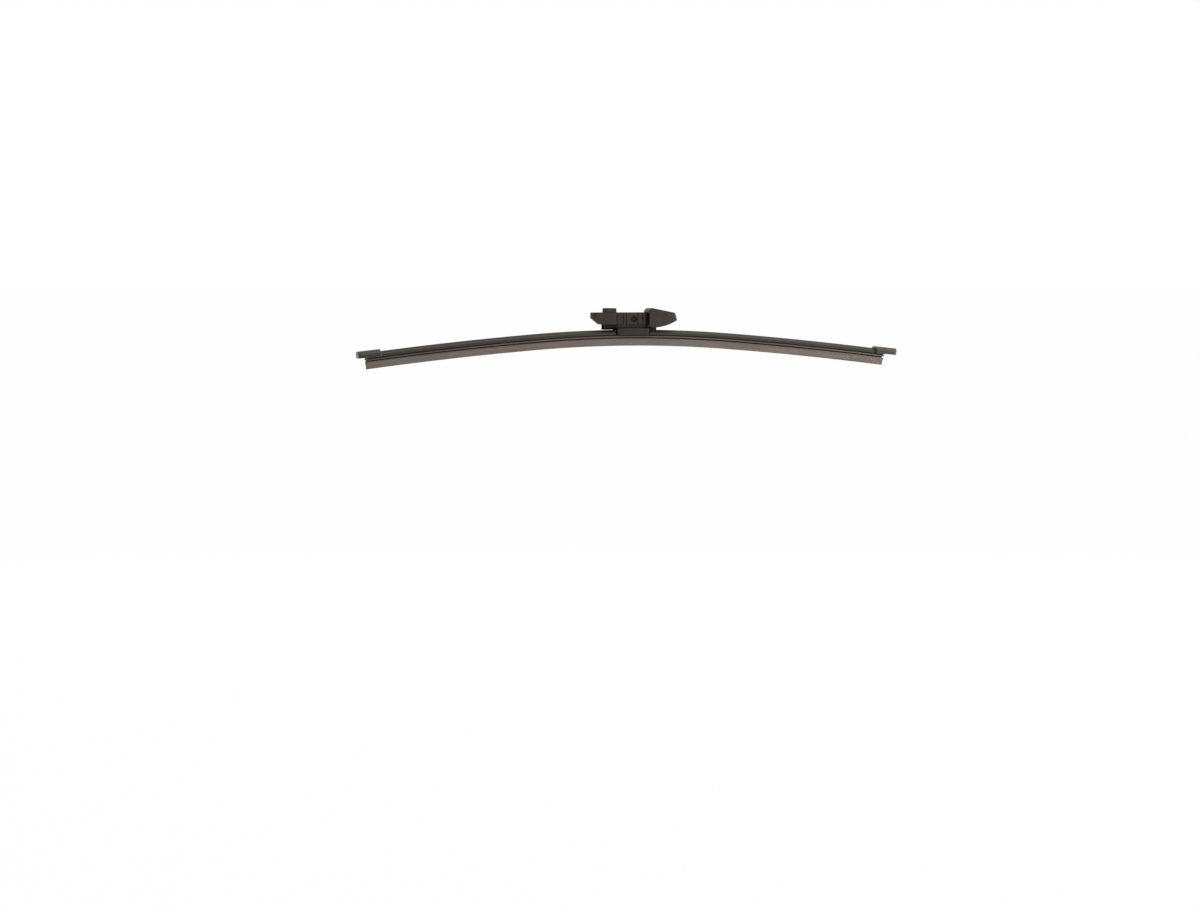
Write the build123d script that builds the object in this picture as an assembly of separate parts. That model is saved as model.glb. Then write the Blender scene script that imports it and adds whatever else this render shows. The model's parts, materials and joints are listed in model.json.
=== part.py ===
from build123d import *
import os
from math import cos, degrees, sin

# A flat rear wiper blade: a rubber on two bowed spring strips, clipped into spoilers and end caps,
# with a bracket in the middle that rocks on the arm's adapter.
# The origin is the middle of the arm's seat on the adapter. +X runs along the blade towards the
# adapter's nose, +Z points away from the glass. Lengths along the blade are taken on the bow of the
# strips' mid-plane. In a cross-section, u is across the blade and v is up from that mid-plane.

# Clearances
SLIP = 0.05
PIN_SEAT = 0.02
RUNNING = 0.06
SIDE_GAP = 0.3
END_GAP = 0.8

# Bow of the blade: a tighter arc in the middle, flatter arcs to the ends
MID_RADIUS = 763.0
MID_REACH = 60.0
END_RADIUS = 2150.0

# Length from the middle of the blade to the caps' tips, and how far the other pieces end short of it
CAP_END = 169.5
CAP_LENGTH = 13.7
SPOILER_SHORT = 10.8
STRIP_SHORT = 7.5
RUBBER_LEFT_SHORT = 5.2
RUBBER_RIGHT_SHORT = 8.2

# Spring strips
STRIP_WIDTH = 3.4
STRIP_THICK = 0.8

# Rubber section
WEB_HALF = 0.85
HEAD_HALF = 2.1
HEAD_THICK = 0.7
PLATE_HALF = 2.7
PLATE_THICK = 1.0
FLANGE_HALF = 4.1
FLANGE_THICK = 0.8
NECK_HALF = 0.4
NECK_HEIGHT = 0.7
SHOULDER_HALF = 2.6
SHOULDER_HEIGHT = 0.7
WEDGE_HEIGHT = 2.6
WEDGE_HOLLOW = 0.3
LIP_TOP_HALF = 0.45
LIP_HALF = 0.35
LIP_HEIGHT = 1.15

# Spoiler section
SPOILER_WALL = 0.55
SPOILER_TOP = 2.2
RIDGE_HALF = 0.9
FLANK_HOLLOW = 0.25
FLANK_LEDGE = 0.4
FLANK_FOOT = 0.8
CLAW_THICK = 0.6
CLAW_REACH = 1.3
CLAW_BEVEL = 0.3
GROOVE_DEPTH = 0.2
GROOVE_WIDTH = 0.4

# End caps
CAP_WALL = 0.65
CAP_TOP = 3.45
CAP_TIP_TOP = 3.65
CAP_RIDGE_HALF = 1.6
CAP_SHOULDER = 1.5
CAP_FLOOR = 0.45
CAP_HEEL_RISE = 0.5
CAP_TIP_HALF = 3.5
CAP_TIP_LENGTH = 2.1

# Base bracket
BRACKET_LEFT = 10.4
BRACKET_RIGHT = 9.2
BRACKET_WALL = 0.85
BRACKET_WALL_TOP = 3.15
BRACKET_FLOOR = 0.6
FLARE = 0.6
FLARE_TOP = 1.6
FLARE_LOW = -0.1
EAR_THICK = 1.1
EAR_FOOT_HALF = 4.0
EAR_RADIUS = 2.6

# Pivot pin
PIN_RADIUS = 1.5
PIN_SINK = 0.5
PIN_BEVEL = 0.3
COUNTERBORE_RADIUS = 1.95

# Adapter housing, heights above the strips' mid-plane in the middle of the blade
SEAT_HEIGHT = 12.6
PIVOT_HEIGHT = 8.6
DECK_THICK = 1.0
CHEEK_HALF = 4.5
CHEEK_THICK = 1.3
CHEEK_LEFT = -10.3
CHEEK_RIGHT = 7.3
CHEEK_END_WALL = 1.2
CHEEK_BOTTOM = 3.05
BAND_TOP = 5.35
BAND_DEPTH = 0.7
LINE_DEPTH = 0.6
LINE_WIDTH = 0.4
LINE_TOP = 12.1
LINES = (-6.9, -4.9, 2.3, 5.4)
NECK_OUTER_HALF = 3.2
NECK_WALL = 1.0

# Nose of the adapter
NOSE_WALL = 1.2
NOSE_START = 9.4
NOSE_END = 27.3
NOSE_TOP = 15.2
NOSE_BROW_LOW = 13.2
NOSE_BROW_MIDDLE = (10.0, 14.5)
NOSE_BROW_END = 11.3
NOSE_FLAT_END = 11.8
NOSE_TIP_TOP = 12.5
NOSE_TIP_LOW = 8.0
NOSE_TIP_LEAN = 15.0
NOSE_TIP_HALF = 5.5
NOSE_STEPS = 4
NOSE_EDGE = 1.5
NOSE_TIP_EDGE = 1.4
BELLY_START = 13.7
BELLY_HEIGHT = 3.55
BELLY_MIDDLE = (21.3, 5.2)
SKIRT_BOTTOM = 1.9
SKIRT_SET_BACK = 0.7
SKIRT_SET_IN = 0.6
SKIRT_BEVEL_LOW = 4.1
SKIRT_BEVEL_HIGH = 5.2
SPOILER_HEADROOM = 4.6

# Locking lever
LEVER_HALF = 4.9
LEVER_WALL = 1.1
LEVER_LEFT = -24.8
LEVER_RIGHT = -10.8
LEVER_BOTTOM = 5.4
LEVER_BEVEL_START = -19.8
LEVER_BEVEL_HEIGHT = 9.3
LEVER_CORNER = 1.0
LEVER_EDGE = 0.6
HINGE_X = -12.5
HINGE_HEIGHT = 7.0
HORN_RADIUS = 2.8
HORN_THICK = 1.2
HORN_ROOT = -8.5
RAIL_LEFT = -18.0
RAIL_LEFT_LOW = 2.2
RAIL_ROOT_LOW = 2.5
RAIL_TOP = 5.9
STUB_RADIUS = 1.2
STUB_LENGTH = 0.9
STUB_SKIN = 0.4
BUTTON_LEFT = -17.1
BUTTON_TOP = 15.2
BUTTON_INSET = 0.6
BUTTON_EDGE = 0.5
BUTTON_WALL = 1.2

# Sizes that follow from the ones above
SPOILER_END = CAP_END - SPOILER_SHORT
STRIP_END = CAP_END - STRIP_SHORT
RUBBER_LEFT = CAP_END - RUBBER_LEFT_SHORT
RUBBER_RIGHT = CAP_END - RUBBER_RIGHT_SHORT
GROOVE_HALF = STRIP_THICK / 2 + SLIP
STRIP_INNER = WEB_HALF + SLIP
STRIP_OUTER = STRIP_INNER + STRIP_WIDTH
SLOT_OUTER = STRIP_OUTER + SLIP
HEAD_TOP = GROOVE_HALF + HEAD_THICK
PLATE_BOTTOM = -GROOVE_HALF - PLATE_THICK
FLANGE_BOTTOM = PLATE_BOTTOM - FLANGE_THICK
NECK_LOW = FLANGE_BOTTOM - NECK_HEIGHT
SHOULDER_LOW = NECK_LOW - SHOULDER_HEIGHT
WEDGE_LOW = SHOULDER_LOW - WEDGE_HEIGHT
LIP_BOTTOM = WEDGE_LOW - LIP_HEIGHT
SPOILER_HALF = SLOT_OUTER + SPOILER_WALL
CLAW_BOTTOM = -GROOVE_HALF - CLAW_THICK
CLAW_TIP = SLOT_OUTER - CLAW_REACH
HEAD_ROOM_HALF = HEAD_HALF + 4 * SLIP
HEAD_ROOM_TOP = HEAD_TOP + SLIP
CAP_HALF = SPOILER_HALF + 2 * SLIP + CAP_WALL
BRACKET_FLOOR_TOP = HEAD_ROOM_TOP + BRACKET_FLOOR
BRACKET_INNER = CHEEK_HALF + SIDE_GAP
BRACKET_OUTER = BRACKET_INNER + BRACKET_WALL
CHEEK_INNER = CHEEK_HALF - CHEEK_THICK
EAR_OUTER = CHEEK_INNER - SIDE_GAP
WIDE_INNER = SPOILER_HALF + SIDE_GAP
NOSE_HALF = WIDE_INNER + NOSE_WALL
LEVER_INNER = LEVER_HALF - LEVER_WALL
HORN_OUTER = LEVER_INNER - SIDE_GAP


def spine(length):
    """The place on the bow at a length from the middle, with X along the blade and Z away from the glass."""
    turn = min(abs(length), MID_REACH) / MID_RADIUS
    x = MID_RADIUS * sin(turn)
    z = MID_RADIUS * (cos(turn) - 1)
    if abs(length) > MID_REACH:
        end_turn = turn + (abs(length) - MID_REACH) / END_RADIUS
        x += END_RADIUS * (sin(end_turn) - sin(turn))
        z += END_RADIUS * (cos(end_turn) - cos(turn))
        turn = end_turn
    side = 1 if length >= 0 else -1
    return Location((side * x, 0, z - SEAT_HEIGHT), (0, side * degrees(turn), 0))


def along(section, start, stop):
    """A cross-section carried along the bow from one length to another."""
    bends = [length for length in (-MID_REACH, MID_REACH) if start < length < stop]
    stations = [start, *bends, stop]
    whole = Part()
    for begin, end in zip(stations, stations[1:]):
        radius = MID_RADIUS if abs(begin + end) / 2 < MID_REACH else END_RADIUS
        here = spine(begin)
        centre = (here * Pos(0, 0, -radius)).position
        turn = degrees((end - begin) / radius)
        whole += revolve(here * (Plane.YZ * section), Axis(centre, (0, 1, 0)), turn)
    return whole


def symmetric(half):
    """A face from the right half of its outline, which starts and ends on the middle line."""
    return make_face(half + mirror(half, Plane.YZ))


def slab(low, high):
    """A rectangle in a cross-section between two corners."""
    width, height = high[0] - low[0], high[1] - low[1]
    return Pos(low[0] + width / 2, low[1] + height / 2) * Rectangle(width, height)


def upright(face, half):
    """A side view, drawn in x and height above the strips' mid-plane, given a width of twice half."""
    return Pos(0, 0, -SEAT_HEIGHT) * extrude(Plane.XZ * face, half, both=True)


def side_slab(low, high, half):
    """A block from two corners of its side view."""
    return upright(slab(low, high), half)


def sunk(low, high, half, depth):
    """A shallow recess in both sides of a block of a given half width."""
    return side_slab(low, high, half) - side_slab(low, high, half - depth)


def crosswise(x, height, radius, start, stop):
    """A round bar across the blade, from one distance from the middle plane to another."""
    bar = extrude(Plane.XZ.offset(-start) * Circle(radius), start - stop)
    return Pos(x, 0, height - SEAT_HEIGHT) * bar


def both_sides(piece):
    """A piece and its mirror image on the other side of the blade."""
    return piece + mirror(piece, Plane.XZ)


def rubber():
    """The wiping rubber, from the head above the strips down to the lip, with its ends cut upright."""
    upper = Polyline(
        (0, HEAD_TOP),
        (HEAD_HALF, HEAD_TOP),
        (HEAD_HALF, GROOVE_HALF),
        (WEB_HALF, GROOVE_HALF),
        (WEB_HALF, -GROOVE_HALF),
        (PLATE_HALF, -GROOVE_HALF),
        (PLATE_HALF, PLATE_BOTTOM),
        (FLANGE_HALF, PLATE_BOTTOM),
        (FLANGE_HALF, FLANGE_BOTTOM),
        (NECK_HALF, FLANGE_BOTTOM),
        (NECK_HALF, NECK_LOW),
        (SHOULDER_HALF, NECK_LOW),
        (SHOULDER_HALF, SHOULDER_LOW),
    )
    waist = ((SHOULDER_HALF + LIP_TOP_HALF) / 2 - WEDGE_HOLLOW, SHOULDER_LOW - WEDGE_HEIGHT / 2)
    flank = ThreePointArc((SHOULDER_HALF, SHOULDER_LOW), waist, (LIP_TOP_HALF, WEDGE_LOW))
    lip = Polyline((LIP_TOP_HALF, WEDGE_LOW), (LIP_HALF, LIP_BOTTOM), (0, LIP_BOTTOM))
    left, right = spine(-RUBBER_LEFT).position.X, spine(RUBBER_RIGHT).position.X
    cut = Pos((left + right) / 2, 0, 0) * Box(right - left, 2 * CAP_HALF, 2 * CAP_END)
    return along(symmetric(upper + flank + lip), -CAP_END, CAP_END) & cut


def spring_strip(side):
    """One flat spring strip, in the rubber's groove on one side."""
    edges = sorted((side * STRIP_INNER, side * STRIP_OUTER))
    section = slab((edges[0], -STRIP_THICK / 2), (edges[1], STRIP_THICK / 2))
    return along(section, -STRIP_END, STRIP_END)


def spoiler(start):
    """The spoiler on the nose side, which clips round both strips from a start near the bracket."""
    foot = (SPOILER_HALF - FLANK_LEDGE, FLANK_FOOT)
    ridge = (RIDGE_HALF, SPOILER_TOP)
    hollow = ((foot[0] + ridge[0]) / 2 - FLANK_HOLLOW, (foot[1] + ridge[1]) / 2 - FLANK_HOLLOW)
    crest = Line((0, SPOILER_TOP), ridge)
    flank = ThreePointArc(ridge, hollow, foot)
    rest = Polyline(
        foot,
        (SPOILER_HALF, GROOVE_HALF + SLIP),
        (SPOILER_HALF, GROOVE_WIDTH / 2),
        (SPOILER_HALF - GROOVE_DEPTH, 0),
        (SPOILER_HALF, -GROOVE_WIDTH / 2),
        (SPOILER_HALF, CLAW_BOTTOM + CLAW_BEVEL),
        (SPOILER_HALF - CLAW_BEVEL, CLAW_BOTTOM),
        (CLAW_TIP, CLAW_BOTTOM),
        (CLAW_TIP, -GROOVE_HALF),
        (SLOT_OUTER, -GROOVE_HALF),
        (SLOT_OUTER, GROOVE_HALF),
        (HEAD_ROOM_HALF, GROOVE_HALF),
        (HEAD_ROOM_HALF, HEAD_ROOM_TOP),
        (0, HEAD_ROOM_TOP),
    )
    return along(symmetric(crest + flank + rest), start, SPOILER_END)


def end_cap(rubber_length):
    """The cap at the nose end, drawn along X from its inner end and then set on the bow."""
    bottom = -GROOVE_HALF - CAP_FLOOR
    start = CAP_END - CAP_LENGTH
    heel = rubber_length + END_GAP / 2 - start
    side = Polyline(
        (0, bottom),
        (heel, bottom),
        (heel, bottom + CAP_HEEL_RISE),
        (CAP_LENGTH, bottom + CAP_HEEL_RISE),
        (CAP_LENGTH, CAP_TIP_TOP),
        (0, CAP_TOP),
        close=True,
    )
    section = Polyline(
        (0, CAP_TIP_TOP),
        (CAP_RIDGE_HALF, CAP_TIP_TOP),
        (CAP_HALF, CAP_SHOULDER),
        (CAP_HALF, bottom),
        (0, bottom),
    )
    plan = Polyline(
        (0, CAP_HALF),
        (CAP_LENGTH - CAP_TIP_LENGTH, CAP_HALF),
        (CAP_LENGTH, CAP_TIP_HALF),
        (CAP_LENGTH, -CAP_TIP_HALF),
        (CAP_LENGTH - CAP_TIP_LENGTH, -CAP_HALF),
        (0, -CAP_HALF),
        close=True,
    )
    cap = extrude(Plane.XZ * make_face(side), CAP_HALF, both=True)
    cap &= extrude(Plane.YZ * symmetric(section), CAP_LENGTH)
    cap &= extrude(make_face(plan), CAP_TIP_TOP, both=True)
    sleeve_half = SPOILER_HALF + 2 * SLIP
    sleeve_top = SPOILER_TOP + SLIP
    sleeve = Polyline(
        (0, sleeve_top),
        (RIDGE_HALF + SLIP, sleeve_top),
        (sleeve_half - FLANK_LEDGE, FLANK_FOOT + SLIP),
        (sleeve_half, GROOVE_HALF + 2 * SLIP),
        (sleeve_half, bottom),
        (0, bottom),
    )
    cap -= extrude(Plane.YZ * symmetric(sleeve), SPOILER_END + 2 * SLIP - start)
    slot = slab((-SLOT_OUTER, -GROOVE_HALF), (SLOT_OUTER, GROOVE_HALF))
    cap -= extrude(Plane.YZ * slot, STRIP_END + END_GAP / 2 - start)
    rubber_half = PLATE_HALF + 2 * SLIP
    passage = slab((-rubber_half, bottom), (rubber_half, HEAD_ROOM_TOP))
    cap -= extrude(Plane.YZ * passage, heel)
    return spine(start) * cap


def bracket():
    """The saddle that grips the strips, with two ears for the pivot pin."""
    half = Polyline(
        (0, BRACKET_FLOOR_TOP),
        (BRACKET_INNER, BRACKET_FLOOR_TOP),
        (BRACKET_INNER, BRACKET_WALL_TOP),
        (BRACKET_OUTER, BRACKET_WALL_TOP),
        (BRACKET_OUTER, FLARE_TOP),
        (BRACKET_OUTER + FLARE, FLARE_LOW),
        (BRACKET_OUTER + FLARE, -GROOVE_HALF),
        (BRACKET_OUTER, CLAW_BOTTOM),
        (CLAW_TIP, CLAW_BOTTOM),
        (CLAW_TIP, -GROOVE_HALF),
        (SLOT_OUTER, -GROOVE_HALF),
        (SLOT_OUTER, GROOVE_HALF),
        (HEAD_ROOM_HALF, GROOVE_HALF),
        (HEAD_ROOM_HALF, HEAD_ROOM_TOP),
        (0, HEAD_ROOM_TOP),
    )
    saddle = along(symmetric(half), -BRACKET_LEFT, BRACKET_RIGHT)
    foot = BRACKET_FLOOR_TOP - BRACKET_FLOOR / 2
    crown = Pos(0, PIVOT_HEIGHT) * Circle(EAR_RADIUS)
    tower = make_hull([*crown.edges(), Line((-EAR_FOOT_HALF, foot), (EAR_FOOT_HALF, foot))])
    ears = upright(tower, EAR_OUTER) - upright(tower, EAR_OUTER - EAR_THICK)
    ears -= crosswise(0, PIVOT_HEIGHT, PIN_RADIUS + PIN_SEAT, -EAR_OUTER, EAR_OUTER)
    return saddle + ears


def pivot_pin():
    """The pin, with bevelled ends that show in the cheeks' counterbores."""
    reach = CHEEK_HALF - PIN_SINK
    pin = crosswise(0, PIVOT_HEIGHT, PIN_RADIUS, -reach, reach)
    return chamfer(pin.edges().filter_by(GeomType.CIRCLE), PIN_BEVEL)


def nose_block(inset):
    """The nose as a solid with rounded upper edges, smaller by an inset on every outer side."""
    stations = [
        (NOSE_START + inset, NOSE_HALF, NOSE_BROW_LOW, 0),
        (NOSE_BROW_MIDDLE[0] + inset, NOSE_HALF, NOSE_BROW_MIDDLE[1], 0),
        (NOSE_BROW_END + inset, NOSE_HALF, NOSE_TOP, 0),
    ]
    for step in range(NOSE_STEPS + 1):
        share = step / NOSE_STEPS
        x = NOSE_FLAT_END + inset + share * (NOSE_END - NOSE_FLAT_END - 2 * inset)
        half = NOSE_HALF - share**2 * (NOSE_HALF - NOSE_TIP_HALF)
        top = NOSE_TOP - share * (NOSE_TOP - NOSE_TIP_TOP)
        stations.append((x, half, top, share * NOSE_TIP_LEAN))
    sections = []
    for x, half, top, lean in stations:
        face = slab((inset - half, -NOSE_TIP_LOW), (half - inset, top - inset - NOSE_TIP_LOW))
        face = fillet(face.vertices().group_by(Axis.Y)[-1], NOSE_EDGE - inset / 2)
        sections.append(Pos(x, 0, NOSE_TIP_LOW - SEAT_HEIGHT) * Rot(0, -lean, 0) * (Plane.YZ * face))
    return loft(sections, ruled=True)


def nose():
    """The hollow nose, open below so that it can dip over the spoiler."""
    shell = nose_block(0)
    rim = shell.faces().sort_by(Axis.X)[-1].edges()
    shell = fillet(rim.sort_by(Axis.Z)[1:], NOSE_TIP_EDGE)
    skirt_x = NOSE_START + SKIRT_SET_BACK
    belly = ThreePointArc((NOSE_END, NOSE_TIP_LOW), BELLY_MIDDLE, (BELLY_START, BELLY_HEIGHT))
    heel = Polyline(
        (BELLY_START, BELLY_HEIGHT),
        (BELLY_START, SKIRT_BOTTOM),
        (skirt_x, SKIRT_BOTTOM),
        (skirt_x, SKIRT_BEVEL_LOW),
        (NOSE_START, SKIRT_BEVEL_HIGH),
        (NOSE_START, NOSE_TOP),
        (NOSE_END, NOSE_TOP),
        (NOSE_END, NOSE_TIP_LOW),
    )
    shell &= upright(make_face(belly + heel), NOSE_HALF)
    shell -= sunk((NOSE_START, SKIRT_BOTTOM), (BELLY_START, BELLY_HEIGHT), NOSE_HALF, SKIRT_SET_IN)
    entry = side_slab((NOSE_START, 0), (NOSE_START + NOSE_WALL, SPOILER_HEADROOM), WIDE_INNER)
    return shell - nose_block(NOSE_WALL) - entry


def lever_bearing():
    """One side view of the two rails under the lever, with the round horns that carry its stubs."""
    rail = Polyline(
        (RAIL_LEFT, RAIL_LEFT_LOW),
        (HORN_ROOT, RAIL_ROOT_LOW),
        (HORN_ROOT, HINGE_HEIGHT + HORN_RADIUS),
        (HINGE_X, HINGE_HEIGHT + HORN_RADIUS),
        (HINGE_X, RAIL_TOP),
        (RAIL_LEFT, RAIL_TOP),
        close=True,
    )
    return make_face(rail) + Pos(HINGE_X, HINGE_HEIGHT) * Circle(HORN_RADIUS)


def housing():
    """The adapter: cheeks round the ears, the arm's seat, bearings for the lever, a neck and the nose."""
    body = side_slab((CHEEK_LEFT, CHEEK_BOTTOM), (CHEEK_RIGHT, SEAT_HEIGHT), CHEEK_HALF)
    deck_low = SEAT_HEIGHT - DECK_THICK
    body -= side_slab((CHEEK_LEFT, 0), (CHEEK_RIGHT - CHEEK_END_WALL, deck_low), CHEEK_INNER)
    body -= sunk((CHEEK_LEFT, CHEEK_BOTTOM), (CHEEK_RIGHT, BAND_TOP), CHEEK_HALF, BAND_DEPTH)
    for left in LINES:
        body -= sunk((left, BAND_TOP), (left + LINE_WIDTH, LINE_TOP), CHEEK_HALF, LINE_DEPTH)
    neck = side_slab((CHEEK_RIGHT, CHEEK_BOTTOM), (NOSE_START, SEAT_HEIGHT), NECK_OUTER_HALF)
    neck -= side_slab((CHEEK_RIGHT, CHEEK_BOTTOM), (NOSE_START, deck_low), NECK_OUTER_HALF - NECK_WALL)
    bearing = lever_bearing()
    horns = upright(bearing, HORN_OUTER) - upright(bearing, HORN_OUTER - HORN_THICK)
    root = bearing & slab((CHEEK_LEFT, 0), (HORN_ROOT, SEAT_HEIGHT))
    roots = upright(root, CHEEK_INNER) - upright(root, HORN_OUTER - HORN_THICK)
    stub = crosswise(HINGE_X, HINGE_HEIGHT, STUB_RADIUS, HORN_OUTER - HORN_THICK, HORN_OUTER + STUB_LENGTH)
    body += neck + roots + horns + nose() + both_sides(stub)
    body -= crosswise(0, PIVOT_HEIGHT, PIN_RADIUS + RUNNING, -CHEEK_HALF, CHEEK_HALF)
    sink = crosswise(0, PIVOT_HEIGHT, COUNTERBORE_RADIUS, CHEEK_HALF - PIN_SINK, CHEEK_HALF)
    return body - both_sides(sink)


def lever():
    """The locking lever: a channel open below, with the button on top and blind holes for the stubs."""
    outline = Polyline(
        (LEVER_LEFT, LEVER_BEVEL_HEIGHT),
        (LEVER_BEVEL_START, LEVER_BOTTOM),
        (LEVER_RIGHT, LEVER_BOTTOM),
        (LEVER_RIGHT, SEAT_HEIGHT),
        (LEVER_LEFT, SEAT_HEIGHT),
        close=True,
    )
    side = make_face(outline)
    body = upright(side, LEVER_HALF)
    body = fillet(body.faces().sort_by(Axis.X)[0].edges().filter_by(Axis.Z), LEVER_CORNER)
    rim = body.faces().sort_by(Axis.Z)[-1].edges()
    body = fillet(rim.sort_by(Axis.X)[:-1], LEVER_EDGE)
    roof_low = SEAT_HEIGHT - LEVER_WALL
    opening = slab((LEVER_BEVEL_START + LEVER_WALL, LEVER_BOTTOM), (LEVER_RIGHT, roof_low))
    body -= upright(offset(side, -LEVER_WALL) + opening, LEVER_INNER)
    button_half = LEVER_HALF - BUTTON_INSET
    button = side_slab((BUTTON_LEFT, roof_low), (LEVER_RIGHT, BUTTON_TOP), button_half)
    button = fillet(button.faces().sort_by(Axis.Z)[-1].edges(), BUTTON_EDGE)
    core = side_slab(
        (BUTTON_LEFT + BUTTON_WALL, roof_low),
        (LEVER_RIGHT - BUTTON_WALL, BUTTON_TOP - BUTTON_WALL),
        button_half - BUTTON_WALL,
    )
    body = body + button - core
    hole = crosswise(HINGE_X, HINGE_HEIGHT, STUB_RADIUS + RUNNING, LEVER_INNER, LEVER_HALF - STUB_SKIN)
    return body - both_sides(hole)


NODES = {
    "wiper_rubber": rubber(),
    "spring_strip_front": spring_strip(-1),
    "spring_strip_rear": spring_strip(1),
    "spoiler_right": spoiler(BRACKET_RIGHT + END_GAP),
    "spoiler_left": mirror(spoiler(BRACKET_LEFT + END_GAP), Plane.YZ),
    "end_cap_right": end_cap(RUBBER_RIGHT),
    "end_cap_left": mirror(end_cap(RUBBER_LEFT), Plane.YZ),
    "base_bracket": bracket(),
    "pivot_pin": pivot_pin(),
    "adapter_housing": housing(),
    "locking_lever": lever(),
}

os.makedirs("parts", exist_ok=True)
for name, piece in NODES.items():
    export_step(piece, f"parts/{name}.step")
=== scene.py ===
import json
from math import asin, atan, atan2, cos, pi, radians, sin, sqrt

import bpy
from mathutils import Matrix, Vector


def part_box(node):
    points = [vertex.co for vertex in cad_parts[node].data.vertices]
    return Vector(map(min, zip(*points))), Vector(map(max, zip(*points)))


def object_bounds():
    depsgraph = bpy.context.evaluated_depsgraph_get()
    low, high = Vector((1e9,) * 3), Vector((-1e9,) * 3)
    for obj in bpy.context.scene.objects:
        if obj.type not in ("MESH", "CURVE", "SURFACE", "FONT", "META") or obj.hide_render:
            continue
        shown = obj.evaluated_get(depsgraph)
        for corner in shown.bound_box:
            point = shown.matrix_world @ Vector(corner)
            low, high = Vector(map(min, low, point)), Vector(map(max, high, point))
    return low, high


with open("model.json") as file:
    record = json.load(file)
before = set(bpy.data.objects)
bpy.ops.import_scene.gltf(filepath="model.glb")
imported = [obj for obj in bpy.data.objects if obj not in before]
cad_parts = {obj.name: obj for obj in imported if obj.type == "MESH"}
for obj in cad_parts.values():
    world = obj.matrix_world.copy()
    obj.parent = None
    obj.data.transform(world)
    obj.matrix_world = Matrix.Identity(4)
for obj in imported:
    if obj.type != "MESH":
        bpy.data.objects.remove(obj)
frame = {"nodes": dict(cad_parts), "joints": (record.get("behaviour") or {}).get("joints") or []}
CAD_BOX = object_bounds()

# Everything is in metres, in the part's own frame.
MM = 0.001
WHITE = (1, 1, 1, 1)

# The photograph: its size, where the pivot pin's near end shows in it, and how it was taken.
IMAGE_WIDTH, IMAGE_HEIGHT = 1200, 911
PIVOT_PIXEL = (633.6, 319.1)
FOCAL_PIXELS = 3616.0
SENSOR_WIDTH = 36.0
CAMERA_DISTANCE = 2174 * MM
CAMERA_AZIMUTH = -17.0
CAMERA_ELEVATION = 0.72

# The studio: a wide floor below the blade, which shows nearly white, and a soft surround. The
# camera sees past the floor's far corners.
FLOOR_DROP = 200 * MM
FLOOR_SIZE = 60.0
CAMERA_REACH = 4 * FLOOR_SIZE
FLOOR_GREY = (0.9, 0.9, 0.9, 1)
FLOOR_ROUGHNESS = 0.9
FLOOR_WHITE = 0.99
WORLD_STRENGTH = 0.2

# Each lamp's name, place, aim, size and watts, and whether it shows in the pieces' shine. The back
# lamp only lifts the far side, without a glint round the edges that are seen from the front.
LAMPS = (
    ("front", (0.9, -0.55, -0.08), (0, 0, -0.02), 0.6, 14, True),
    ("top", (0.2, -0.8, 1.5), (0, 0, 0), 1.2, 5, True),
    ("back", (0.3, 1.0, 0.2), (0, 0, 0), 0.6, 6, False),
)

# The pieces' shine carries a painted warm tint, which stands in for a warm studio light.
PAINTED_SHINE_TINT = (1.0, 0.93, 0.87, 1.0)

# The blade's bow: a tighter arc up to a reach from the middle, flatter arcs beyond it.
BOW_REACH = 60 * MM
BOW_MIDDLE_RADIUS = 763 * MM
BOW_END_RADIUS = 2150 * MM

# How far each piece's edges are rounded, in how many steps, and which edges count as sharp. Faces
# that lie flat to each other are joined first, and so are vertices that all but touch.
EDGE_ROUNDING = {
    "wiper_rubber": 0.08 * MM,
    "spring_strip_front": 0.1 * MM,
    "spring_strip_rear": 0.1 * MM,
    "spoiler_left": 0.12 * MM,
    "spoiler_right": 0.12 * MM,
    "end_cap_left": 0.2 * MM,
    "end_cap_right": 0.2 * MM,
    "base_bracket": 0.2 * MM,
    "pivot_pin": 0.1 * MM,
    "adapter_housing": 0.2 * MM,
    "locking_lever": 0.25 * MM,
}
EDGE_STEPS = 2
SHARP_ANGLE = radians(28)
FLAT_ANGLE = radians(0.03)
WELD_REACH = 0.0005 * MM

# The sockets of a colour mix, by number, since its other kinds have sockets of the same names.
MIX_FIRST, MIX_SECOND, MIX_RESULT = 6, 7, 2

# The part of a noise's range over which a finish goes from one tone to the other.
NOISE_LOW, NOISE_HIGH = 0.3, 0.7

# Painted shade in creases: how open a place is where it is darkest and where it is clear, and the
# rays that tell.
CREASE_SHADE_DARKEST, CREASE_SHADE_CLEAR = 0.3, 0.9
CREASE_SHADE_RAYS = 8

# Shaded places: the axis, where the shade begins and is full, and what it leaves of the light. The
# adapter lies in shade under the lever and down between the bracket's walls, the spoilers' claws in
# the gap above the rubber's flange, and the flange below the claws.
ADAPTER_SHADES = (("X", -10.2 * MM, -11.2 * MM, 0.4), ("Z", -8.8 * MM, -9.4 * MM, 0.4))
CLAW_SHADES = (("Z", -13.1 * MM, -13.4 * MM, 0.35),)
FLANGE_SHADES = (("Z", -15.3 * MM, -14.9 * MM, 0.75),)

# Extruded pieces: the depths of their draw lines and grain.
LINE_DEPTH = 0.004 * MM
GRAIN_DEPTH = 0.0015 * MM

# Moulded pieces: the size, detail, range and depth of their grain, the size and tone of their
# clouds, the reach and depth of their painted crease shade, and how far their roughness strays.
MOULD_GRAIN = 0.16 * MM
MOULD_GRAIN_DETAIL = 3.0
MOULD_GRAIN_LOW, MOULD_GRAIN_HIGH = 0.35, 0.65
MOULD_GRAIN_DEPTH = 0.004 * MM
MOULD_CLOUD = 6 * MM
MOULD_HAZE = (232, 232, 232)
MOULD_CREASE_SHADE_REACH = 5 * MM
MOULD_CREASE_SHADE_DEPTH = 0.3
MOULD_ROUGHNESS_SPREAD = 0.05

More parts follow.
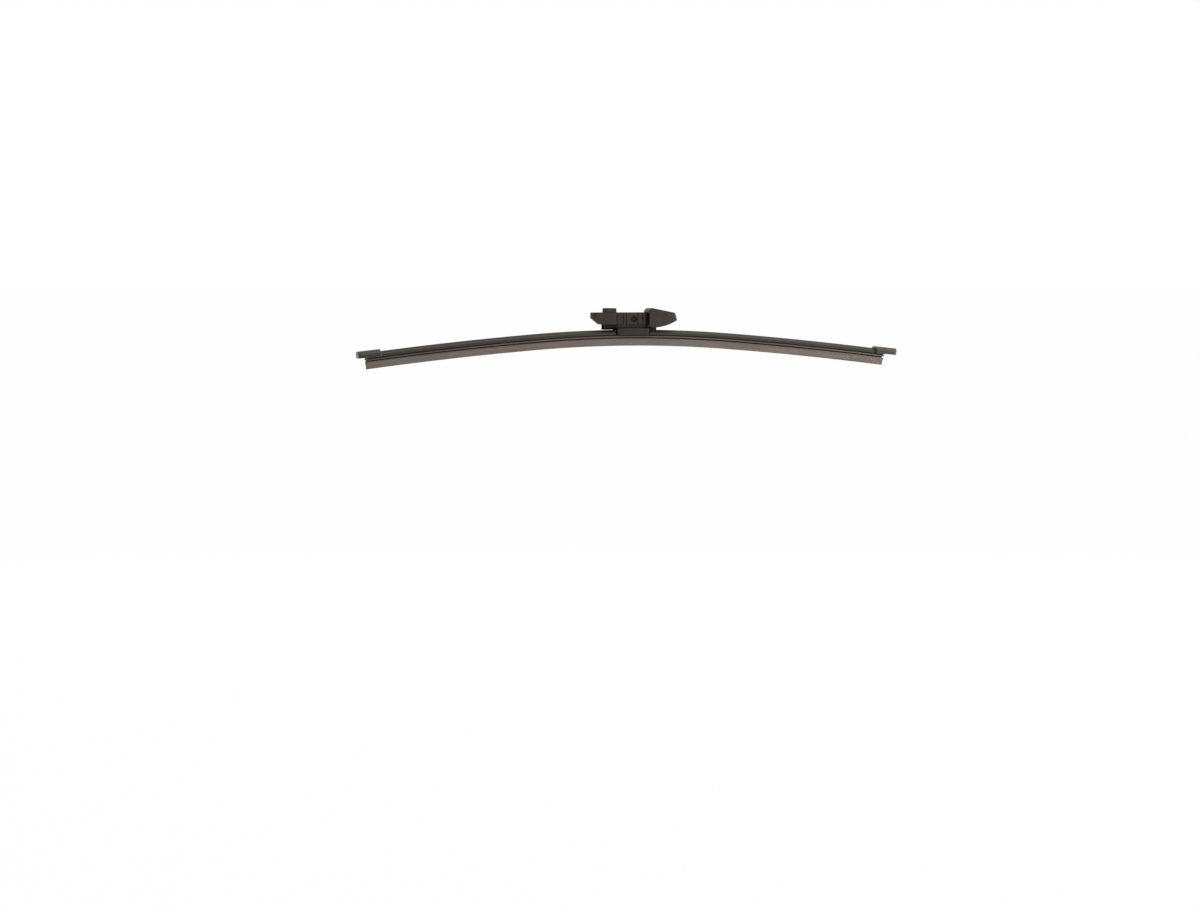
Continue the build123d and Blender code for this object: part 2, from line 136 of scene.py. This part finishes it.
# Steel pieces: the size, detail and depth of their lines, their roughness and their shine.
STEEL_LINE = 0.1 * MM
STEEL_LINE_DETAIL = 3.0
STEEL_LINE_DEPTH = 0.004 * MM
STEEL_ROUGHNESS = (0.3, 0.45)
STEEL_SPECULAR = 0.5


def linear(grey):
    """The linear value of an 8-bit sRGB level."""
    level = grey / 255
    return level / 12.92 if level <= 0.04045 else ((level + 0.055) / 1.055) ** 2.4


def colour(red, green, blue):
    """A linear colour with alpha from 8-bit sRGB levels."""
    return (linear(red), linear(green), linear(blue), 1.0)


class Shader:
    """A material's node tree, with short calls for the nodes that the finishes use."""

    def __init__(self, name):
        self.material = bpy.data.materials.new(name)
        self.material.use_nodes = True
        self.nodes = self.material.node_tree.nodes
        self.links = self.material.node_tree.links
        self.surface = self.nodes["Principled BSDF"]
        self.place = self.add("ShaderNodeTexCoord").outputs["Object"]

    def add(self, kind, **settings):
        node = self.nodes.new(kind)
        for key, value in settings.items():
            setattr(node, key, value)
        return node

    def parts(self):
        """The place's three coordinates."""
        node = self.add("ShaderNodeSeparateXYZ")
        self.links.new(self.place, node.inputs[0])
        return node.outputs

    def math(self, operation, *values):
        """A sum, product or the like of sockets and numbers."""
        node = self.add("ShaderNodeMath", operation=operation)
        for socket, value in zip(node.inputs, values):
            if isinstance(value, float):
                socket.default_value = value
            else:
                self.links.new(value, socket)
        return node.outputs[0]

    def follow_bow(self):
        """Takes the blade's bow out of the place, so that lengthwise lines run along the blade."""
        parts = self.parts()
        reach = self.math("ABSOLUTE", parts["X"])
        near = self.math("MINIMUM", reach, BOW_REACH)
        far = self.math("SUBTRACT", reach, near)
        height = parts["Z"]
        for length, factor in (
            (self.math("POWER", near, 2.0), 0.5 / BOW_MIDDLE_RADIUS),
            (far, BOW_REACH / BOW_MIDDLE_RADIUS),
            (self.math("POWER", far, 2.0), 0.5 / BOW_END_RADIUS),
        ):
            height = self.math("MULTIPLY_ADD", length, factor, height)
        straight = self.add("ShaderNodeCombineXYZ")
        for axis, value in zip("XYZ", (parts["X"], parts["Y"], height)):
            self.links.new(value, straight.inputs[axis])
        self.place = straight.outputs[0]

    def noise(self, size, stretch=(1, 1, 1), detail=4.0):
        """Noise whose features are about the given size, drawn out along the axes by stretch."""
        mapping = self.add("ShaderNodeMapping")
        mapping.inputs["Scale"].default_value = [1 / (size * axis) for axis in stretch]
        self.links.new(self.place, mapping.inputs["Vector"])
        noise = self.add("ShaderNodeTexNoise")
        noise.inputs["Scale"].default_value = 1.0
        noise.inputs["Detail"].default_value = detail
        self.links.new(mapping.outputs["Vector"], noise.inputs["Vector"])
        return noise.outputs["Fac"]

    def ramp(self, value, *stops):
        """A colour ramp from (position, colour) stops."""
        ramp = self.add("ShaderNodeValToRGB")
        for element, (position, tint) in zip(ramp.color_ramp.elements, stops):
            element.position = position
            element.color = tint
        self.links.new(value, ramp.inputs["Fac"])
        return ramp.outputs["Color"]

    def span(self, value, low, high, start=0.0, stop=1.0):
        """A value from start to stop mapped to low to high."""
        spread = self.add("ShaderNodeMapRange")
        for name, number in (
            ("From Min", start), ("From Max", stop), ("To Min", low), ("To Max", high)
        ):
            spread.inputs[name].default_value = number
        self.links.new(value, spread.inputs["Value"])
        return spread.outputs["Result"]

    def multiply(self, first, second):
        """Two colours multiplied."""
        mix = self.add("ShaderNodeMix", data_type="RGBA", blend_type="MULTIPLY")
        mix.inputs["Factor"].default_value = 1.0
        self.links.new(first, mix.inputs[MIX_FIRST])
        self.links.new(second, mix.inputs[MIX_SECOND])
        return mix.outputs[MIX_RESULT]

    def painted_crease_shade(self, base, reach, depth):
        """A colour darkened where other surfaces stand close by: painted shade in creases and
        corners.
        """
        near = self.add("ShaderNodeAmbientOcclusion", samples=CREASE_SHADE_RAYS)
        near.inputs["Distance"].default_value = reach
        darkest = (CREASE_SHADE_DARKEST, (depth, depth, depth, 1))
        return self.multiply(base, self.ramp(near.outputs["AO"], darkest, (CREASE_SHADE_CLEAR, WHITE)))

    def shade(self, base, specular, shades):
        """A colour and a shine that are both dimmed in shaded places."""
        for axis, clear, dim, depth in shades:
            lit = self.span(self.parts()[axis], depth, 1.0, start=dim, stop=clear)
            base = self.multiply(base, lit)
            specular = self.math("MULTIPLY", lit, specular)
        return base, specular

    def bump(self, *heights):
        """Bumps stacked from (value, depth) pairs."""
        normal = None
        for value, depth in heights:
            bump = self.add("ShaderNodeBump")
            bump.inputs["Distance"].default_value = depth
            bump.inputs["Strength"].default_value = 1.0
            self.links.new(value, bump.inputs["Height"])
            if normal is not None:
                self.links.new(normal, bump.inputs["Normal"])
            normal = bump.outputs["Normal"]
        self.links.new(normal, self.surface.inputs["Normal"])

    def finish(self, base, roughness, specular):
        self.links.new(base, self.surface.inputs["Base Color"])
        self.links.new(roughness, self.surface.inputs["Roughness"])
        # A painted warm tint on the shine, standing in for warm light.
        self.surface.inputs["Specular Tint"].default_value = PAINTED_SHINE_TINT
        if isinstance(specular, float):
            self.surface.inputs["Specular IOR Level"].default_value = specular
        else:
            self.links.new(specular, self.surface.inputs["Specular IOR Level"])
        return self.material


def extruded_finish(name, tones, line, cloud, haze, grain, crease, roughness, specular, shades):
    """Rubber or plastic with fine lengthwise draw lines and a dry, cloudy bloom.

    line is the draw lines' size, stretch and detail, cloud the bloom's size and stretch, and crease
    the reach and depth of the painted shade in creases."""
    shader = Shader(name)
    shader.follow_bow()
    line_size, line_stretch, line_detail = line
    lines = shader.noise(line_size, (line_stretch, 1, 1), line_detail)
    cloud_size, cloud_stretch = cloud
    bloom = shader.noise(cloud_size, (cloud_stretch, 1, 1))
    pores = shader.noise(grain)
    dark, light = tones
    tone = shader.ramp(lines, (NOISE_LOW, colour(*dark)), (NOISE_HIGH, colour(*light)))
    veil = shader.ramp(bloom, (NOISE_LOW, colour(*haze)), (NOISE_HIGH, WHITE))
    shader.bump((lines, LINE_DEPTH), (pores, GRAIN_DEPTH))
    # Painted shade: darker in creases, and dimmed in the shaded places.
    base = shader.painted_crease_shade(shader.multiply(tone, veil), *crease)
    base, shine = shader.shade(base, specular, shades)
    return shader.finish(base, shader.span(bloom, *roughness), shine)


def moulded_finish(name, dark, light, roughness, specular, shades=()):
    """Black moulding with a fine spark-eroded grain, darker where the pieces round it shade it."""
    shader = Shader(name)
    grain = shader.noise(MOULD_GRAIN, detail=MOULD_GRAIN_DETAIL)
    cloud = shader.noise(MOULD_CLOUD)
    darkest, lightest = (MOULD_GRAIN_LOW, colour(*dark)), (MOULD_GRAIN_HIGH, colour(*light))
    tone = shader.ramp(grain, darkest, lightest)
    veil = shader.ramp(cloud, (NOISE_LOW, colour(*MOULD_HAZE)), (NOISE_HIGH, WHITE))
    shader.bump((grain, MOULD_GRAIN_DEPTH))
    # Painted shade: darker in creases, and dimmed in the shaded places.
    base = shader.painted_crease_shade(shader.multiply(tone, veil), MOULD_CREASE_SHADE_REACH, MOULD_CREASE_SHADE_DEPTH)
    base, shine = shader.shade(base, specular, shades)
    low, high = roughness - MOULD_ROUGHNESS_SPREAD, roughness + MOULD_ROUGHNESS_SPREAD
    return shader.finish(base, shader.span(cloud, low, high), shine)


def steel_finish(name, dark, light, stretch):
    """Dark steel with rolling or turning lines."""
    shader = Shader(name)
    lines = shader.noise(STEEL_LINE, stretch, STEEL_LINE_DETAIL)
    tone = shader.ramp(lines, (NOISE_LOW, colour(*dark)), (NOISE_HIGH, colour(*light)))
    shader.bump((lines, STEEL_LINE_DEPTH))
    shader.surface.inputs["Metallic"].default_value = 1.0
    return shader.finish(tone, shader.span(lines, *STEEL_ROUGHNESS), STEEL_SPECULAR)


def soften(piece, width):
    """Rounds a piece's sharp edges."""
    weld = piece.modifiers.new("weld", "WELD")
    weld.merge_threshold = WELD_REACH
    flat = piece.modifiers.new("flat", "DECIMATE")
    flat.decimate_type = "DISSOLVE"
    flat.angle_limit = FLAT_ANGLE
    bevel = piece.modifiers.new("bevel", "BEVEL")
    bevel.width = width
    bevel.segments = EDGE_STEPS
    bevel.limit_method = "ANGLE"
    bevel.angle_limit = SHARP_ANGLE
    normals = piece.modifiers.new("normals", "WEIGHTED_NORMAL")
    normals.keep_sharp = True


rubber = extruded_finish(
    "blade_rubber",
    tones=((122, 111, 105), (142, 130, 124)),
    line=(0.25 * MM, 400, 3.0),
    cloud=(9 * MM, 3),
    haze=(235, 234, 233),
    grain=0.12 * MM,
    crease=(3.5 * MM, 0.15),
    roughness=(0.5, 0.66),
    specular=0.1,
    shades=FLANGE_SHADES,
)
spoiler = extruded_finish(
    "spoiler_plastic",
    tones=((64, 59, 56), (80, 74, 70)),
    line=(0.3 * MM, 500, 2.0),
    cloud=(14 * MM, 2),
    haze=(238, 238, 238),
    grain=0.1 * MM,
    crease=(1.2 * MM, 0.15),
    roughness=(0.45, 0.55),
    specular=0.22,
    shades=CLAW_SHADES,
)
cap = moulded_finish(
    "cap_plastic", (48, 44, 41), (58, 54, 50), roughness=0.3, specular=0.42
)
bracket = moulded_finish(
    "bracket_plastic", (40, 38, 36), (50, 48, 45), roughness=0.45, specular=0.22
)
adapter = moulded_finish(
    "adapter_plastic",
    (54, 52, 48),
    (68, 65, 60),
    roughness=0.4,
    specular=0.12,
    shades=ADAPTER_SHADES,
)
lever = moulded_finish(
    "lever_plastic", (56, 55, 52), (69, 68, 64), roughness=0.6, specular=0.08
)
strip = steel_finish("spring_steel", (44, 43, 42), (62, 61, 60), (300, 1, 1))
pin = steel_finish("pin_steel", (32, 31, 30), (44, 43, 42), (1, 40, 1))

FINISHES = {
    "wiper_rubber": rubber,
    "spring_strip_front": strip,
    "spring_strip_rear": strip,
    "spoiler_left": spoiler,
    "spoiler_right": spoiler,
    "end_cap_left": cap,
    "end_cap_right": cap,
    "base_bracket": bracket,
    "pivot_pin": pin,
    "adapter_housing": adapter,
    "locking_lever": lever,
}
for node, piece in frame["nodes"].items():
    for slot in piece.material_slots:
        slot.material = FINISHES[node]
    soften(piece, EDGE_ROUNDING[node])


def place_camera():
    """Sets the camera as the photograph's stood, so that the pivot pin's end lands on its pixel."""
    rock = next(joint for joint in frame["joints"] if joint["name"] == "blade_rock")
    near_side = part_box("pivot_pin")[0][1]
    target = Vector((rock["pos_m"][0], near_side, rock["pos_m"][2]))
    turn, rise = radians(CAMERA_AZIMUTH), radians(CAMERA_ELEVATION)
    back = Vector((sin(turn) * cos(rise), -cos(turn) * cos(rise), sin(rise)))
    data = bpy.data.cameras.new("camera")
    data.sensor_width = SENSOR_WIDTH
    data.lens = FOCAL_PIXELS * SENSOR_WIDTH / IMAGE_WIDTH
    data.clip_end = CAMERA_REACH
    camera = bpy.data.objects.new("camera", data)
    bpy.context.scene.collection.objects.link(camera)
    # Where the target lies in the picture, one unit in front of the lens.
    across = (PIVOT_PIXEL[0] - IMAGE_WIDTH / 2) / FOCAL_PIXELS
    above = (IMAGE_HEIGHT / 2 - PIVOT_PIXEL[1]) / FOCAL_PIXELS
    length = sqrt(1 + across**2 + above**2)
    pitch = asin(-back.z * length / sqrt(1 + above**2)) - atan(above)
    ahead = cos(pitch) - above * sin(pitch)
    yaw = atan2(-back.y, -back.x) - atan2(ahead, across)
    camera.location = target + CAMERA_DISTANCE * back
    camera.rotation_euler = (pi / 2 + pitch, 0, yaw)
    bpy.context.scene.camera = camera


def seen_directly(nodes, links):
    """1 for rays from the camera, in a reflection or through glass, 0 for other light."""
    path = nodes.new("ShaderNodeLightPath")
    seen = path.outputs["Is Camera Ray"]
    for other in ("Is Glossy Ray", "Is Transmission Ray"):
        either = nodes.new("ShaderNodeMath")
        either.operation = "MAXIMUM"
        links.new(seen, either.inputs[0])
        links.new(path.outputs[other], either.inputs[1])
        seen = either.outputs[0]
    return seen


def build_world():
    """A plain soft surround that shows as white."""
    world = bpy.data.worlds.new("surround")
    bpy.context.scene.world = world
    world.use_nodes = True
    nodes, links = world.node_tree.nodes, world.node_tree.links
    surround = nodes["Background"]
    surround.inputs["Strength"].default_value = WORLD_STRENGTH
    surround.inputs["Color"].default_value = WHITE
    white = nodes.new("ShaderNodeBackground")
    white.inputs["Color"].default_value = WHITE
    mix = nodes.new("ShaderNodeMixShader")
    links.new(seen_directly(nodes, links), mix.inputs["Fac"])
    links.new(surround.outputs[0], mix.inputs[1])
    links.new(white.outputs[0], mix.inputs[2])
    links.new(mix.outputs[0], nodes["World Output"].inputs["Surface"])


def build_floor():
    """A plain floor below the blade, which shows nearly white, with the blade's faint shadow."""
    mesh = bpy.data.meshes.new("floor")
    signs = ((-1, -1), (1, -1), (1, 1), (-1, 1))
    corners = [(x * FLOOR_SIZE, y * FLOOR_SIZE, 0) for x, y in signs]
    mesh.from_pydata(corners, [], [(0, 1, 2, 3)])
    floor = bpy.data.objects.new("floor", mesh)
    floor.location = (0, 0, CAD_BOX[0][2] - FLOOR_DROP)
    bpy.context.scene.collection.objects.link(floor)
    material = bpy.data.materials.new("floor_white")
    material.use_nodes = True
    nodes, links = material.node_tree.nodes, material.node_tree.links
    paper = nodes["Principled BSDF"]
    paper.inputs["Base Color"].default_value = FLOOR_GREY
    paper.inputs["Roughness"].default_value = FLOOR_ROUGHNESS
    paper.inputs["Specular IOR Level"].default_value = 0.0
    glow = nodes.new("ShaderNodeEmission")
    glow.inputs["Color"].default_value = WHITE
    share = nodes.new("ShaderNodeMath")
    share.operation = "MULTIPLY"
    share.inputs[1].default_value = FLOOR_WHITE
    links.new(seen_directly(nodes, links), share.inputs[0])
    mix = nodes.new("ShaderNodeMixShader")
    links.new(share.outputs[0], mix.inputs["Fac"])
    links.new(paper.outputs[0], mix.inputs[1])
    links.new(glow.outputs[0], mix.inputs[2])
    links.new(mix.outputs[0], nodes["Material Output"].inputs["Surface"])
    mesh.materials.append(material)


def add_lamp(name, place, aim, size, watts, in_shine):
    """A square soft lamp at a place, turned to a point."""
    data = bpy.data.lights.new(name, "AREA")
    data.size = size
    data.energy = watts
    lamp = bpy.data.objects.new(name, data)
    lamp.location = place
    lamp.rotation_euler = (Vector(aim) - Vector(place)).to_track_quat("-Z", "Y").to_euler()
    lamp.visible_glossy = in_shine
    bpy.context.scene.collection.objects.link(lamp)


place_camera()
build_world()
build_floor()
for settings in LAMPS:
    add_lamp(*settings)

bpy.context.scene.view_settings.view_transform = "Standard"
